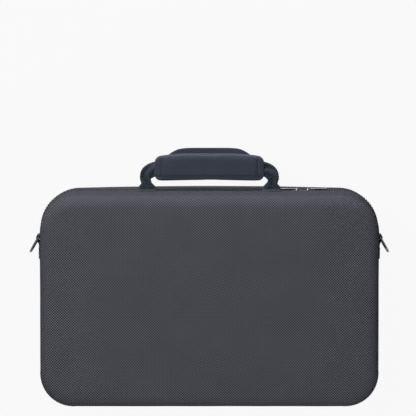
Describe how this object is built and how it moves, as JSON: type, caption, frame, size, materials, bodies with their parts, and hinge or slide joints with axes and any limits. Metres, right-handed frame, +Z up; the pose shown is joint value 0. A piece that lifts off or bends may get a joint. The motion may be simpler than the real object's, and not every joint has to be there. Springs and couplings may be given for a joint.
{
  "type": "console carrying case",
  "caption": "Semi-hard zip-round carrying case with paired wrap handles, side rings, inner hold-down straps and a lid organizer, lying closed on its base.",
  "frame": {"origin": "centre of the base panel's flat outer face, on the ground", "axes": "+X along the width, -Y towards the handles, +Y towards the hinge, +Z up through the lid"},
  "size_m": [0.4832, 0.3375, 0.15],
  "materials": {
    "woven_nylon": "matte weave",
    "grosgrain": "ribbed",
    "zipper_cloth": "matte",
    "zipper_coil": "satin",
    "black_webbing": "ribbed",
    "grip_cloth": "matte",
    "black_metal": "gloss",
    "grey_webbing": "ribbed",
    "black_plastic": "satin",
    "lining_cloth": "matte knit"
  },
  "bodies": {
    "base": {"base_shell": "woven_nylon", "base_rim_binding": "grosgrain", "base_zipper_tape": "zipper_cloth", "base_zipper_coil": "zipper_coil", "hinge_tape": "woven_nylon", "base_handle_anchor_left": "black_webbing", "base_handle_anchor_right": "black_webbing", "ring_tab_left": "black_webbing", "ring_tab_right": "black_webbing", "strap_long_left": "grey_webbing", "strap_long_right": "grey_webbing", "strap_short_left": "grey_webbing", "strap_short_right": "grey_webbing", "buckle_socket_left": "black_plastic", "buckle_socket_right": "black_plastic"},
    "lid": {"lid_shell": "woven_nylon", "lid_rim_binding": "grosgrain", "lid_zipper_tape": "zipper_cloth", "lid_zipper_coil": "zipper_coil", "lid_handle_anchor_left": "black_webbing", "lid_handle_anchor_right": "black_webbing", "organizer_panel": "lining_cloth", "slot_strip": "lining_cloth", "slot_binding": "grosgrain", "pocket_left": "lining_cloth", "pocket_right": "lining_cloth", "pocket_binding_left": "grosgrain", "pocket_binding_right": "grosgrain"},
    "lid_handle": {"lid_handle_strap": "black_webbing", "lid_handle_grip": "grip_cloth"},
    "base_handle": {"base_handle_strap": "black_webbing", "base_handle_grip": "grip_cloth", "base_handle_flap": "grip_cloth"},
    "ring_left": {"d_ring_left": "black_metal"},
    "ring_right": {"d_ring_right": "black_metal"},
    "slider_left": {"zipper_slider_left": "black_metal"},
    "slider_right": {"zipper_slider_right": "black_metal"},
    "pull_left": {"zipper_pull_left": "black_metal"},
    "pull_right": {"zipper_pull_right": "black_metal"},
    "plug_left": {"buckle_plug_left": "black_plastic"},
    "plug_right": {"buckle_plug_right": "black_plastic"}
  },
  "joints": [
    {"name": "lid_hinge", "type": "hinge", "parent": "base", "child": "lid", "pos_m": [0, 0.1421, 0.075], "axis": [-1, 0, 0], "range_deg": [0, 170], "deforming": ["hinge_tape"]},
    {"name": "lid_handle_fold", "type": "hinge", "parent": "lid", "child": "lid_handle", "pos_m": [0, -0.1459, 0.082], "axis": [-1, 0, 0], "range_deg": [0, 70]},
    {"name": "base_handle_fold", "type": "hinge", "parent": "base", "child": "base_handle", "pos_m": [0, -0.1459, 0.068], "axis": [1, 0, 0], "range_deg": [0, 68]},
    {"name": "ring_left_swing", "type": "hinge", "parent": "base", "child": "ring_left", "pos_m": [-0.2286, -0.075, 0.04195], "axis": [-0.0122, 0, 0.9999], "range_deg": [-20, 130]},
    {"name": "ring_right_swing", "type": "hinge", "parent": "base", "child": "ring_right", "pos_m": [0.2286, -0.075, 0.04195], "axis": [-0.0122, 0, -0.9999], "range_deg": [-20, 130]},
    {"name": "slider_left_run", "type": "slide", "parent": "base", "child": "slider_left", "axis": [-1, 0, 0], "range_m": [0, 0.035]},
    {"name": "slider_right_run", "type": "slide", "parent": "base", "child": "slider_right", "axis": [1, 0, 0], "range_m": [0, 0.28]},
    {"name": "pull_left_swing", "type": "hinge", "parent": "slider_left", "child": "pull_left", "pos_m": [-0.1325, -0.143, 0.075], "axis": [0, 0, 1], "range_deg": [0, 100]},
    {"name": "pull_right_swing", "type": "hinge", "parent": "slider_right", "child": "pull_right", "pos_m": [-0.1175, -0.143, 0.075], "axis": [0, 0, -1], "range_deg": [0, 100]},
    {"name": "plug_left_release", "type": "slide", "parent": "base", "child": "plug_left", "axis": [0, 1, 0], "range_m": [0, 0.024], "deforming": ["strap_long_left"]},
    {"name": "plug_right_release", "type": "slide", "parent": "base", "child": "plug_right", "axis": [0, 1, 0], "range_m": [0, 0.024], "deforming": ["strap_long_right"]}
  ]
}
